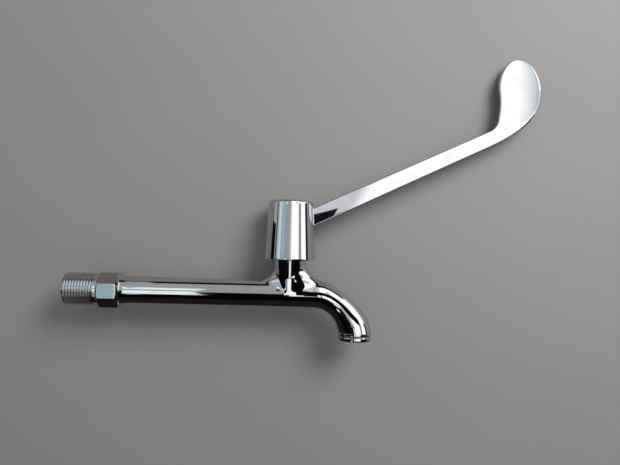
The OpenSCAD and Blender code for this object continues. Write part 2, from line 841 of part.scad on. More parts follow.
module lever_arm() {
    lower = lower_edge();
    upper = upper_edge();
    tip = paddle_mid + [-paddle_lean, paddle_top];
    outline = concat(lower, [tip], [for (i = [len(upper) - 1 : -1 : 0]) upper[i]]);
    n = len(outline);
    edge_turns = [90, 60, 30, 0];
    layers = concat(
        [for (a = edge_turns) [-arm_t / 2 + arm_edge * (1 - sin(a)), arm_edge * (1 - cos(a))]],
        [for (i = [len(edge_turns) - 1 : -1 : 0]) let (a = edge_turns[i])
            [arm_t / 2 - arm_edge * (1 - sin(a)), arm_edge * (1 - cos(a))]]
    );
    last = len(layers) - 1;
    points = [for (layer = layers, p = drawn_in(outline, layer[1])) [p[0], layer[0], p[1]]];
    sides = [
        for (k = [0 : last - 1], i = [0 : n - 1]) let (j = (i + 1) % n)
            [k * n + i, k * n + j, (k + 1) * n + j, (k + 1) * n + i]
    ];
    near_face = [for (i = [0 : len(lower) - 2]) [i, n - 1 - i, n - 2 - i, i + 1]];
    near_tip = [[len(lower) - 1, len(lower) + 1, len(lower)]];
    far_face = [
        for (face = concat(near_face, near_tip))
            [for (i = [len(face) - 1 : -1 : 0]) last * n + face[i]]
    ];
    color(chrome)
        polyhedron(points, concat(sides, near_face, near_tip, far_face));
}

module handle_screw() {
    color(steel)
        on_stem(0)
            difference() {
                union() {
                    translate([0, 0, screw_tip_z])
                        cylinder(d = screw_d, h = screw_head_z - screw_tip_z + cut);
                    translate([0, 0, screw_head_z])
                        cylinder(d = screw_head_d, h = screw_head_h);
                }
                translate([0, 0, screw_head_z + screw_head_h - socket_depth])
                    cylinder(d = socket_af / cos(30), h = socket_depth + cut, $fn = 6);
            }
}

module screw_washer() {
    color(steel)
        on_stem(washer_z)
            ring(screw_head_d / 2, screw_d / 2 + fit_clear, screw_washer_t);
}

module screw_cap() {
    rim_r = cap_d / 2;
    crown_r = (pow(rim_r, 2) + pow(cap_crown, 2)) / 2 / cap_crown;
    crown_turn = asin(rim_r / crown_r);
    color(chrome)
        on_stem(cap_z)
            rotate_extrude()
                polygon(concat(
                    [[0, 0], [rim_r, 0]],
                    arc([0, cap_t + cap_crown - crown_r], crown_r, 90 - crown_turn, 90, 2 * round_steps)
                ));
}

tap_body();
outlet_collar();
flow_straightener();
outlet_washer();
headwork_body();
headwork_seal();
seat_seal();
seal_support_ring();
fixed_disc();
moving_disc();
spindle();
thrust_washer();
lower_spindle_seal();
upper_spindle_seal();
retaining_clip();
splined_bush();
lever_hub();
lever_arm();
handle_screw();
screw_washer();
screw_cap();
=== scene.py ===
"""Looks of an elbow lever tap: chrome-plated, lying on a grey floor and seen from above.

The frame is the tap's own: the inlet's end face is at the origin, the barrel runs along +X and the
spindle stands along +Z. The floor is therefore a nearly upright plane close behind the tap.
Sizes are in millimetres, and MM turns them into metres where points are placed.
"""
import math

import bmesh
import bpy
import numpy as np
from mathutils import Matrix, Vector


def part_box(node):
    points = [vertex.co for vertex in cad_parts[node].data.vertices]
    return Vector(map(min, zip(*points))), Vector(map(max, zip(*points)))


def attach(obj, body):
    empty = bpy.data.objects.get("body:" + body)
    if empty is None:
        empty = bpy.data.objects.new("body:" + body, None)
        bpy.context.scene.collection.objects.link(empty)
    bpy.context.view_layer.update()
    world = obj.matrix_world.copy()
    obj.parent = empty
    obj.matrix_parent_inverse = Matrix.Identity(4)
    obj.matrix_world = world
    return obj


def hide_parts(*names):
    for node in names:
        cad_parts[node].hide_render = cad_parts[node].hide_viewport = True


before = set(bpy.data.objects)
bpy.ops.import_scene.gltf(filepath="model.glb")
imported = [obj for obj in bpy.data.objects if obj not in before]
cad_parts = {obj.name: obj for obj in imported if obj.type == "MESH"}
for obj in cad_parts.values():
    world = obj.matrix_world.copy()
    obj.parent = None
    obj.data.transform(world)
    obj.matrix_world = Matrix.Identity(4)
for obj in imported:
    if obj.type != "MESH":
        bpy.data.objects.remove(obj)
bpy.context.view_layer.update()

MM = 0.001
SIDES = 96
# Corners closer than MERGE become one, lengths under NEAR count as none, and no divisor is under TINY
MERGE = 0.001
NEAR = 0.01
TINY = 1e-9
# A rounded corner gets a point this far beside it, where the straight face has room for it
CORNER_SUPPORT = 0.4
CORNER_ROOM = 2.0


def extent(node):
    """Lowest and highest corner of a node, in millimetres."""
    low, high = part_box(node)
    return low / MM, high / MM


# Places taken from the frame
hub_low, hub_high = extent("lever_hub")
collar_low, collar_high = extent("outlet_collar")
cap_low, cap_high = extent("screw_cap")
arm_low, arm_high = extent("lever_arm")
STEM_X = (hub_low.x + hub_high.x) / 2
HUB_BOTTOM_R = (hub_high.x - hub_low.x) / 2
HUB_BOTTOM_Z = hub_low.z
HUB_TOP_Z = hub_high.z
OUTLET_X = (collar_low.x + collar_high.x) / 2
OUTLET_R = (collar_high.x - collar_low.x) / 2
RIM_Z = collar_low.z
CAP_R = (cap_high.x - cap_low.x) / 2
CAP_Z = cap_low.z
ARM_T = arm_high.y - arm_low.y

# Inlet thread, spanner collar, cove and barrel
THREAD_R = 10.4775
THREAD_PITCH = 1.814
THREAD_DEPTH = 1.162
THREAD_END = 20.5
THREAD_FADE = 1.6
THREAD_FLATS = 1.35
THREAD_TUCK = 1.0
RINGS_PER_PITCH = 14
END_BEVEL = 1.1
INLET_BORE_R = 5.5
INLET_BORE_DEEP = 120.0
INLET_BORE_EDGE = 0.4
COLLAR_X = 22.0
COLLAR_LEN = 14.3
COLLAR_FLATS = 22.3
COLLAR_SIDES = 8
COLLAR_BEVEL = 1.4
COLLAR_BEVEL_ANGLE = math.radians(60)
COLLAR_EDGE = 0.22
FLAT_STEPS = 9
COVE_X = COLLAR_X + COLLAR_LEN
COVE_LEN = 5.5
COVE_R = 0.74
COVE_START = 0.01
BARREL_R = 8.9

# Neck and spout
NECK_R = 9.9
NECK_FOOT_R = 8.8
NECK_FOOT_LOW = -4.0
NECK_FOOT_HIGH = 16.0
NECK_TOP = 26.0
BACK_FILLET = 9.0
FRONT_FILLET = 14.0
FILLET_CHANGE = 6.0
FILLET_MOST = 1.2
FILLET_POWER = 1.5
BEND_X = 158.9
BEND_R = 27.9
SPOUT_END_Z = RIM_Z + 5.2
SOCKET_R = 8.15
SOCKET_ROOF_Z = -18.5
SPOUT_BORE_R = 5.3
# Spout's centre line and outside: [angle round the bend's centre, line's radius, outside radius]
SPOUT_LINE = np.array([
    [0, 27.9, 8.9],
    [10, 28.05, 9.0],
    [26, 27.4, 8.45],
    [44, 27.0, 8.55],
    [63, 27.4, 9.9],
    [81, 28.2, OUTLET_R],
    [95, 28.2, OUTLET_R],
])

# Rings of the casting's skin. The neck has as many sides as the rim of the hole that it grows from.
PIPE_SIDES = 20
NECK_SIDES = PIPE_SIDES + 4
TEE_REACH = 13.0
TEE_RIM = TEE_REACH + 1.0
COVE_STEPS = (-1.9, -0.4, 0.2, 0.8, 2.0, 3.5, COVE_LEN)
BARREL_STOPS = np.linspace(48, 123, 9)
BEND_STOPS = np.radians(np.linspace(6, 70, 12))
INSIDE_COLLAR = 1.0
LEAST_SLOPE = 0.05

# Hub
HUB_TOP_R = 14.4
HUB_EDGE = 2.4
HUB_RIM = 0.8
HUB_WALL = 2.2
BUSH_R = 5.55
BUSH_Z = 43.9
PLATE_Z = 52.2
WASHER_Z = 54.6
SCREW_HOLE_R = 2.15
COUNTERBORE_R = 4.3
CAP_GAP = 0.05

# Lever arm and paddle
ARM_RISE = math.radians(25.2)
ARM_BASE_Z = 42.8
ARM_START = 11.6
ARM_LEN = 133.0
ARM_ROOT_W = 11.4
ARM_TIP_W = 9.3
ARM_EDGE = 0.7
PADDLE_REACH = 25.5
PADDLE_RISE = 34.9
PADDLE_W = 27.2
PADDLE_TOP = 19.5
PADDLE_FILLET = 10.4
PADDLE_WAIST = 0.7
PADDLE_LEAN = 1.3
PADDLE_RIM = 1.9
PADDLE_RIM_DROP = 1.3
OUTER_FULL = 20.5
ROOT_FULL = 25.5
FACE_CROWN = 0.05
# Shares of the paddle's outer edge where its rolled rim starts and is full
RIM_START = 0.05
RIM_FULL = 0.6
# An edge's rounding takes at most this share of the width
EDGE_SHARE = 0.45
# Stations along the arm, the paddle and its round end, which stop just short of the tip
ARM_STEPS = 40
PADDLE_STEPS = 60
TIP_STEPS = 44
TIP_STOP = 0.09
ACROSS_STEPS = 33


# Modelling by hand: a ring is added, extruded from place to place and closed

def finish_edit(piece, angle):
    """Merges doubles, points the faces outwards and shades the piece smooth up to an angle."""
    bpy.ops.mesh.select_all(action="SELECT")
    bpy.ops.mesh.remove_doubles(threshold=MERGE * MM)
    bpy.ops.mesh.normals_make_consistent(inside=False)
    bpy.ops.object.mode_set(mode="OBJECT")
    bpy.ops.object.select_all(action="DESELECT")
    piece.select_set(True)
    bpy.context.view_layer.objects.active = piece
    bpy.ops.object.shade_smooth_by_angle(angle=math.radians(angle))


def set_ring(piece, ring, before=None):
    """Moves a ring of corners to its points. After an extrusion, before is the ring it came from."""
    mesh = bmesh.from_edit_mesh(piece.data)
    mesh.verts.index_update()
    mesh.verts.ensure_lookup_table()
    corners = [mesh.verts[i] for i in (before or range(len(ring)))]
    if before:
        corners = [
            next(edge.other_vert(v) for edge in v.link_edges if edge.other_vert(v).select)
            for v in corners
        ]
    for corner, point in zip(corners, ring):
        corner.co = Vector(point) * MM
    bmesh.update_edit_mesh(piece.data)
    return [corner.index for corner in corners]


def select_only(piece, chosen):
    """Selects the corners that a test accepts, with the edges and faces between them."""
    bpy.ops.mesh.select_mode(type="VERT")
    bpy.ops.mesh.select_all(action="DESELECT")
    mesh = bmesh.from_edit_mesh(piece.data)
    mesh.verts.index_update()
    for vert in mesh.verts:
        vert.select = chosen(vert)
    mesh.select_flush_mode()
    bmesh.update_edit_mesh(piece.data)


def loft(name, rings, ends="caps", angle=40):
    """A skin through rings of points: the first ring is extruded from one to the next, then closed."""
    bpy.ops.object.select_all(action="DESELECT")
    bpy.ops.mesh.primitive_circle_add(vertices=len(rings[0]), radius=MM)
    piece = bpy.context.object
    piece.name = name
    piece.data.name = name
    bpy.ops.object.mode_set(mode="EDIT")
    bpy.ops.mesh.select_mode(type="VERT")
    bpy.ops.mesh.select_all(action="SELECT")
    first = set_ring(piece, rings[0])
    last = first
    for ring in rings[1:]:
        bpy.ops.mesh.extrude_region_move()
        last = set_ring(piece, ring, last)
    if ends == "caps":
        for end in (first, last):
            select_only(piece, lambda vert: vert.index in set(end))
            bpy.ops.mesh.edge_face_add()
    if ends == "joined":
        select_only(piece, lambda vert: vert.index in set(first + last))
        bpy.ops.mesh.bridge_edge_loops()
    finish_edit(piece, angle)
    return piece


def turn_of(sides):
    """Angles of the corners of a ring."""
    return np.arange(sides) * 2 * math.pi / sides


def ring_on_x(x, r, sides=SIDES):
    """A ring around the barrel's axis."""
    turn = turn_of(sides)
    return np.column_stack([np.full(sides, x), r * np.cos(turn), r * np.sin(turn)])


def ring_on_z(centre_x, z, r, sides=SIDES):
    """A ring around an upright axis."""
    turn = turn_of(sides)
    return np.column_stack([centre_x + r * np.cos(turn), r * np.sin(turn), np.full(sides, z)])


def eased(outline, steps=6):
    """An outline of [r, along, rounding], each corner drawn as a curve that starts its rounding away."""
    points = []
    count = len(outline)
    for i, (r, along, rounding) in enumerate(outline):
        corner = np.array([r, along])
        if not rounding:
            points.append(corner)
            continue
        before = np.array(outline[i - 1][:2])
        after = np.array(outline[(i + 1) % count][:2])
        back = (before - corner) / np.linalg.norm(before - corner)
        on = (after - corner) / np.linalg.norm(after - corner)
        start = corner + back * rounding
        end = corner + on * rounding
        # A point beside each end of the curve keeps the straight face's shading straight
        if np.linalg.norm(before - corner) > rounding + CORNER_ROOM:
            points.append(start + back * CORNER_SUPPORT)
        for t in np.linspace(0, 1, steps + 1):
            points.append(start * (1 - t) ** 2 + corner * 2 * t * (1 - t) + end * t ** 2)
        if np.linalg.norm(after - corner) > rounding + CORNER_ROOM:
            points.append(end + on * CORNER_SUPPORT)
    return points


def turned_on_z(name, centre_x, outline, ends="joined", angle=40):
    """A turned piece on an upright axis."""
    return loft(name, [ring_on_z(centre_x, z, r) for r, z in eased(outline)], ends, angle)


def smooth_step(low, high, value):
    """Share from 0 to 1 that eases in and out between two values."""
    share = np.clip((value - low) / (high - low), 0, 1)
    return share * share * (3 - 2 * share)


def slopes_through(places, values):
    """Slopes at rising places of a curve whose bend never jumps, level at its first place."""
    gaps = np.diff(places)
    rises = 3 * np.diff(values) / gaps
    weights = np.eye(len(places))
    sums = np.zeros(len(places))
    for i in range(1, len(places) - 1):
        weights[i, i - 1:i + 2] = [1 / gaps[i - 1], 2 / gaps[i - 1] + 2 / gaps[i], 1 / gaps[i]]
        sums[i] = rises[i - 1] / gaps[i - 1] + rises[i] / gaps[i]
    weights[-1, -2:] = [1, 2]
    sums[-1] = rises[-1]
    return np.linalg.solve(weights, sums)


def smooth_through(places, values, at):
    """A smooth curve through values at rising places, level at the first one."""
    slopes = slopes_through(places, values)
    i = np.clip(np.searchsorted(places, at) - 1, 0, len(places) - 2)
    span = places[i + 1] - places[i]
    u = np.clip((at - places[i]) / span, 0, 1)
    ends = values[i] * (1 + 2 * u) * (1 - u) ** 2 + values[i + 1] * u * u * (3 - 2 * u)
    return ends + span * (slopes[i] * u * (1 - u) ** 2 - slopes[i + 1] * u * u * (1 - u))


# Casting: barrel, neck and spout are one blended skin

def spout_at(angle):
    """Radius of the spout's centre line and of its outside at an angle round the bend's centre."""
    places = np.radians(SPOUT_LINE[:, 0])
    line_r = smooth_through(places, SPOUT_LINE[:, 1], angle)
    outside_r = smooth_through(places, SPOUT_LINE[:, 2], angle)
    return line_r, outside_r


def pipe_distance(points):
    """Distance of points from the skin of the barrel and the spout."""
    x, y, z = points.T
    angle = np.where(x > BEND_X, np.arctan2(x - BEND_X, z + BEND_R), 0)
    line_r, spout_r = spout_at(angle)
    cove = np.clip((x - COVE_X) / COVE_LEN, COVE_START, 1)
    barrel_r = BARREL_R + COVE_R * (1 - np.sqrt(1 - (1 - cove) ** 2))
    off = np.where(x > BEND_X, np.hypot(x - BEND_X, z + BEND_R) - line_r, z)
    return np.hypot(y, off) - np.where(x > BEND_X, spout_r, barrel_r)


def neck_distance(points):
    """Distance of points from the skin of the neck, whose foot is drawn in to the barrel."""
    x, y, z = points.T
    r = NECK_FOOT_R + (NECK_R - NECK_FOOT_R) * smooth_step(NECK_FOOT_LOW, NECK_FOOT_HIGH, z)
    return np.sqrt((x - STEM_X) ** 2 + y ** 2 + np.minimum(z, 0) ** 2) - r


def slope_of(distance, points, by=0.001):
    """Direction in which a distance grows."""
    shifts = np.eye(3) * by
    return np.column_stack([(distance(points + s) - distance(points - s)) / (2 * by) for s in shifts])


def skin_distance(points):
    """Distance from the casting's skin, with a fillet where the neck and the pipe cross."""
    pipe = pipe_distance(points)
    neck = neck_distance(points)
    pipe_out = slope_of(pipe_distance, points)
    neck_out = slope_of(neck_distance, points)
    lengths = np.linalg.norm(pipe_out, axis=1) * np.linalg.norm(neck_out, axis=1)
    alike = np.sum(pipe_out * neck_out, axis=1) / np.maximum(lengths, TINY)
    side = smooth_step(-FILLET_CHANGE, FILLET_CHANGE, points[:, 0] - STEM_X)
    full = BACK_FILLET + (FRONT_FILLET - BACK_FILLET) * side
    fillet = full * np.clip(1 - alike, 0, FILLET_MOST) ** FILLET_POWER
    inner = np.hypot(np.maximum(fillet - pipe, 0), np.maximum(fillet - neck, 0))
    return np.maximum(fillet, np.minimum(pipe, neck)) - inner


def settle_on_skin(piece, rounds=10, most=1.5):
    """Moves a piece's corners onto the casting's skin, and keeps its open ends in their planes."""
    count = len(piece.data.vertices)
    flat = np.zeros(count * 3)
    piece.data.vertices.foreach_get("co", flat)
    points = flat.reshape(-1, 3) / MM
    start = points.copy()
    for _ in range(rounds):
        out = slope_of(skin_distance, points)
        steep = np.maximum(np.sum(out * out, axis=1), LEAST_SLOPE)
        step = skin_distance(points)[:, None] * out / steep[:, None]
        points -= np.clip(step, -most, most)
    inlet = start[:, 0] < COVE_X - INSIDE_COLLAR
    points[inlet] = start[inlet]
    points[start[:, 2] > NECK_TOP - NEAR, 2] = NECK_TOP
    points[start[:, 2] < SPOUT_END_Z + NEAR, 2] = SPOUT_END_Z
    piece.data.vertices.foreach_set("co", (points * MM).ravel())
    piece.data.update()


def pipe_ring(angle, sides):
    """A ring of the spout at an angle round the bend's centre."""
    line_r, r = (float(v) for v in spout_at(np.array(angle)))
    turn = turn_of(sides)
    away = line_r + r * np.sin(turn)
    return np.column_stack([
        BEND_X + away * math.sin(angle),
        r * np.cos(turn),
        away * math.cos(angle) - BEND_R,
    ])


def extrude_selected(piece, matrix):
    """Extrudes the selected loop and moves the new one by a matrix."""
    bpy.ops.mesh.extrude_region_move()
    mesh = bmesh.from_edit_mesh(piece.data)
    for vert in mesh.verts:
        if vert.select:
            vert.co = matrix @ vert.co
    bmesh.update_edit_mesh(piece.data)


def drawn_to(centre_x, share, z):
    """Matrix that draws a level loop in to a share of its size and sets it at a height."""
    centre = Vector((centre_x, 0, 0)) * MM
    flat = Matrix.Diagonal((share, share, 0, 1))
    return Matrix.Translation(centre + Vector((0, 0, z * MM))) @ flat @ Matrix.Translation(-centre)


def blended_pipe():
    """Barrel, neck and spout as one smooth skin, with the outlet's socket."""
    stops = [COVE_X + step for step in COVE_STEPS]
    stops += list(BARREL_STOPS)
    stops += [STEM_X - TEE_REACH, STEM_X, STEM_X + TEE_REACH]
    rings = [ring_on_x(x, BARREL_R, PIPE_SIDES) for x in stops]
    rings += [pipe_ring(angle, PIPE_SIDES) for angle in BEND_STOPS]
    # The outlet's ring starts at the same corner as the others: at the back, then over the outside
    turn = turn_of(PIPE_SIDES)
    rings.append(np.column_stack([
        OUTLET_X + OUTLET_R * np.sin(turn),
        OUTLET_R * np.cos(turn),
        np.full(PIPE_SIDES, SPOUT_END_Z),
    ]))
    piece = loft("tap_casting", rings, ends="open")
    # The neck grows out of the upper half of the pipe
    bpy.ops.object.mode_set(mode="EDIT")
    bpy.ops.mesh.select_mode(type="FACE")
    bpy.ops.mesh.select_all(action="DESELECT")
    mesh = bmesh.from_edit_mesh(piece.data)
    for face in mesh.faces:
        middle = face.calc_center_median() / MM
        face.select = abs(middle.x - STEM_X) < TEE_REACH and middle.z > NEAR
    bmesh.update_edit_mesh(piece.data)
    bpy.ops.mesh.delete(type="FACE")
    bpy.ops.mesh.select_mode(type="EDGE")
    bpy.ops.mesh.primitive_circle_add(
        vertices=NECK_SIDES, radius=NECK_R * MM, location=(STEM_X * MM, 0, NECK_TOP * MM))
    mesh = bmesh.from_edit_mesh(piece.data)
    for edge in mesh.edges:
        middle = (edge.verts[0].co + edge.verts[1].co) / 2 / MM
        edge.select = edge.is_boundary and abs(middle.x - STEM_X) < TEE_RIM or not edge.link_faces
    mesh.select_flush_mode()
    bmesh.update_edit_mesh(piece.data)
    bpy.ops.mesh.bridge_edge_loops(number_cuts=3)
    finish_edit(piece, angle=60)
    smooth = piece.modifiers.new("smooth", "SUBSURF")
    smooth.levels = 3
    smooth.render_levels = 3
    bpy.ops.object.modifier_apply(modifier=smooth.name)
    settle_on_skin(piece)
    # Outlet socket, neck rim and the end inside the spanner collar
    bpy.ops.object.mode_set(mode="EDIT")
    select_only(piece, lambda v: v.is_boundary and v.co.z < (SPOUT_END_Z + 1) * MM)
    extrude_selected(piece, drawn_to(OUTLET_X, SOCKET_R / OUTLET_R, SPOUT_END_Z))
    extrude_selected(piece, drawn_to(OUTLET_X, 1, SOCKET_ROOF_Z))
    extrude_selected(piece, drawn_to(OUTLET_X, SPOUT_BORE_R / SOCKET_R, SOCKET_ROOF_Z))
    bpy.ops.mesh.edge_face_add()
    select_only(piece, lambda v: v.is_boundary and v.co.z > (NECK_TOP - 1) * MM)
    bpy.ops.mesh.edge_face_add()
    select_only(piece, lambda v: v.is_boundary and v.co.x < COVE_X * MM)
    bpy.ops.mesh.edge_face_add()
    finish_edit(piece, angle=50)
    return piece


def thread_radius(x, turn):
    """Radius of the inlet thread: a helix with flat crests and roots, bevelled and run out at the ends."""
    wave = np.cos(2 * math.pi * (x / THREAD_PITCH - turn / (2 * math.pi)))
    share = 0.5 + 0.5 * np.clip(THREAD_FLATS * wave, -1, 1)
    share = share * (1 - smooth_step(THREAD_END - THREAD_FADE, THREAD_END, x))
    r = THREAD_R - THREAD_DEPTH * (1 - share)
    return np.minimum(r, THREAD_R - END_BEVEL + x)


def inlet_thread():
    """Threaded end with its waterway."""
    turn = turn_of(SIDES)
    rings = [ring_on_x(INLET_BORE_DEEP, INLET_BORE_R), ring_on_x(INLET_BORE_EDGE, INLET_BORE_R)]
    rings.append(ring_on_x(0, INLET_BORE_R + INLET_BORE_EDGE))
    for x in np.arange(0, THREAD_END, THREAD_PITCH / RINGS_PER_PITCH):
        r = thread_radius(x, turn)
        rings.append(np.column_stack([np.full(SIDES, x), r * np.cos(turn), r * np.sin(turn)]))
    rings.append(ring_on_x(COLLAR_X + THREAD_TUCK, THREAD_R - THREAD_DEPTH))
    return loft("inlet_thread", rings, angle=60)


def collar_outline(corner_r):
    """Octagon with a flat to the front and softened corners, as points [y, z]."""
    half_side = math.pi / COLLAR_SIDES
    turns = turn_of(COLLAR_SIDES) + half_side
    corners = corner_r * np.column_stack([np.cos(turns), np.sin(turns)])
    margin = (COLLAR_EDGE + CORNER_SUPPORT) / (2 * corner_r * math.sin(half_side))
    rows = []
    for corner, following in zip(corners, np.roll(corners, -1, axis=0)):
        rows.append([*corner, COLLAR_EDGE])
        for share in np.linspace(margin, 1 - margin, FLAT_STEPS):
            rows.append([*(corner + (following - corner) * share), 0])
    return eased(rows)


def collar_profile(r, end_r):
    """Points [r, along] over the collar at an outline point: bevel, softened edge, flat and back again."""
    start = np.array([end_r, 0])
    edge = np.array([r, (r - end_r) / math.tan(COLLAR_BEVEL_ANGLE)])
    beside = COLLAR_EDGE + CORNER_SUPPORT
    on_bevel = edge + (start - edge) / np.linalg.norm(start - edge) * beside
    near = [[*start, 0], [*on_bevel, 0], [*edge, COLLAR_EDGE], [r, edge[1] + beside, 0]]
    far = [[row_r, COLLAR_LEN - along, rounding] for row_r, along, rounding in reversed(near)]
    return eased(near + far)


def spanner_collar():
    """Octagonal collar with turned bevels at its ends."""
    corner_r = COLLAR_FLATS / 2 / math.cos(math.pi / COLLAR_SIDES)
    end_r = corner_r - COLLAR_BEVEL * math.tan(COLLAR_BEVEL_ANGLE)
    lines = []
    for point in collar_outline(corner_r):
        r = np.linalg.norm(point)
        y, z = point / r
        lines.append([[COLLAR_X + along, y * row_r, z * row_r] for row_r, along in collar_profile(r, end_r)])
    return loft("spanner_collar", list(zip(*lines)), angle=24)


def tap_casting():
    """The whole chrome-plated body."""
    piece = blended_pipe()
    others = [inlet_thread(), spanner_collar()]
    bpy.ops.object.select_all(action="DESELECT")
    for other in others:
        other.select_set(True)
    piece.select_set(True)
    bpy.context.view_layer.objects.active = piece
    bpy.ops.object.join()
    return piece


# Turned pieces

def outlet_ring():
    """Banded collar at the end of the spout."""
    mouth_r = 6.3
    seat_r = 7.05
    spigot_r = 8.1
    groove = 0.75
    groove_half = groove * 0.6
    groove_z = RIM_Z + 2.9
    seat_z = RIM_Z + 5.7
    spigot_z = RIM_Z + 8.8
    return turned_on_z("outlet_ring", OUTLET_X, [
        [mouth_r, RIM_Z, 0.3],
        [OUTLET_R, RIM_Z, 0.6],
        [OUTLET_R, groove_z - groove_half, 0.5],
        [OUTLET_R - groove, groove_z, 0.2],
        [OUTLET_R, groove_z + groove_half, 0.5],
        [OUTLET_R, SPOUT_END_Z, 0.25],
        [spigot_r, SPOUT_END_Z, 0],
        [spigot_r, spigot_z, 0],
        [seat_r, spigot_z, 0],
        [seat_r, seat_z, 0],
        [mouth_r, seat_z, 0],
    ])


def lever_cup():
    """Hub over the headwork: a turned cup with its boss, its screw hole and the recess for its cap."""
    widening = (HUB_BOTTOM_R - HUB_TOP_R) / (HUB_TOP_Z - HUB_BOTTOM_Z)
    inner_top_r = HUB_TOP_R - HUB_WALL + widening * (HUB_TOP_Z - BUSH_Z)
    return turned_on_z("lever_cup", STEM_X, [
        [HUB_BOTTOM_R - HUB_WALL, HUB_BOTTOM_Z, 0.4],
        [HUB_BOTTOM_R, HUB_BOTTOM_Z, HUB_RIM],
        [HUB_TOP_R, HUB_TOP_Z, HUB_EDGE],
        [CAP_R + CAP_GAP, HUB_TOP_Z, 0.3],
        [CAP_R + CAP_GAP, CAP_Z, 0],
        [COUNTERBORE_R, CAP_Z, 0],
        [COUNTERBORE_R, WASHER_Z, 0],
        [SCREW_HOLE_R, WASHER_Z, 0],
        [SCREW_HOLE_R, PLATE_Z, 0],
        [BUSH_R, PLATE_Z, 0],
        [BUSH_R, BUSH_Z, 0],
        [inner_top_r, BUSH_Z, 0.6],
    ])


def plain_cap():
    """Crowned cap over the handle screw."""
    rim_h = 1.6
    crown = 0.5
    edge = 0.35
    foot = 0.2
    turns = np.linspace(0, 1.5, 12)[1:]
    rings = [[CAP_R - foot, CAP_Z], [CAP_R, CAP_Z + foot], [CAP_R, CAP_Z + rim_h - edge]]
    rings += [[CAP_R * math.cos(t), CAP_Z + rim_h + crown * math.sin(t)] for t in turns]
    return loft("plain_cap", [ring_on_z(STEM_X, z, r) for r, z in rings])


# Lever

def arm_point(along, across):
    """Point at a distance along the arm's centre line and a shift across it, as [x, z]."""
    return np.array([
        STEM_X + along * math.cos(ARM_RISE) - across * math.sin(ARM_RISE),
        ARM_BASE_Z + along * math.sin(ARM_RISE) + across * math.cos(ARM_RISE),
    ])


def inner_edge(share, tip, slope, corner):
    """Point on the paddle's inner edge: along the arm, round the fillet and up to the widest place."""
    top_z = arm_point(ARM_LEN, 0)[1] + PADDLE_RISE
    trim = PADDLE_FILLET * math.tan((math.pi / 2 - slope) / 2)
    straight = np.linalg.norm(corner - tip) - trim
    bend = PADDLE_FILLET * (math.pi / 2 - slope)
    upright = top_z - corner[1] - trim
    way = share * (straight + bend + upright)
    along = np.array([math.cos(slope), math.sin(slope)])
    if way < straight:
        return tip + along * way
    if way < straight + bend:
        turn = slope - math.pi / 2 + (way - straight) / PADDLE_FILLET
        centre = corner + np.array([-PADDLE_FILLET, trim])
        return centre + PADDLE_FILLET * np.array([math.cos(turn), math.sin(turn)])
    up = way - straight - bend
    return corner + np.array([PADDLE_WAIST * math.sin(math.pi * up / upright), trim + up])


def lever_stations():
    """Stations from the hub to the tip.

    Each is an inner and an outer edge point, a share of the paddle's rim and the way left to the tip.
    """
    stations = []
    for along in np.linspace(ARM_START, ARM_LEN, ARM_STEPS, endpoint=False):
        half = (ARM_ROOT_W + (ARM_TIP_W - ARM_ROOT_W) * along / ARM_LEN) / 2
        stations.append((arm_point(along, half), arm_point(along, -half), 0, PADDLE_TOP))
    start = arm_point(ARM_LEN, 0)
    middle = start + np.array([PADDLE_REACH, PADDLE_RISE])
    upper_tip = arm_point(ARM_LEN, ARM_TIP_W / 2)
    lower_tip = arm_point(ARM_LEN, -ARM_TIP_W / 2)
    lower_way = lower_tip - arm_point(ARM_START, -ARM_ROOT_W / 2)
    outer_end = middle + np.array([PADDLE_W / 2, 0])
    taper = math.atan((ARM_ROOT_W - ARM_TIP_W) / 2 / ARM_LEN)
    slope = ARM_RISE - taper
    inner_x = middle[0] - PADDLE_W / 2
    corner = np.array([inner_x, upper_tip[1] + (inner_x - upper_tip[0]) * math.tan(slope)])
    handle_1 = lower_tip + lower_way / np.linalg.norm(lower_way) * ROOT_FULL
    handle_2 = outer_end - np.array([0, OUTER_FULL])
    for t in np.linspace(0, 1, PADDLE_STEPS, endpoint=False):
        outer = (lower_tip * (1 - t) ** 3 + handle_1 * 3 * t * (1 - t) ** 2
                 + handle_2 * 3 * t * t * (1 - t) + outer_end * t ** 3)
        rim = float(smooth_step(RIM_START, RIM_FULL, t))
        stations.append((inner_edge(t, upper_tip, slope, corner), outer, rim, PADDLE_TOP))
    for t in 1 - np.linspace(1, TIP_STOP, TIP_STEPS) ** 2:
        turn = t * math.pi / 2
        side = np.array([PADDLE_W / 2 * math.cos(turn), 0])
        up = np.array([-PADDLE_LEAN, PADDLE_TOP]) * math.sin(turn)
        stations.append((middle + up - side, middle + up + side, 1, PADDLE_TOP - up[1]))
    return stations


def lost_at_edge(distance, rounding, drop):
    """Thickness lost on one face at a distance from an edge rounded over a width and a depth."""
    inside = np.clip(1 - distance / rounding, 0, 1)
    return drop * (1 - np.sqrt(1 - inside ** 2))


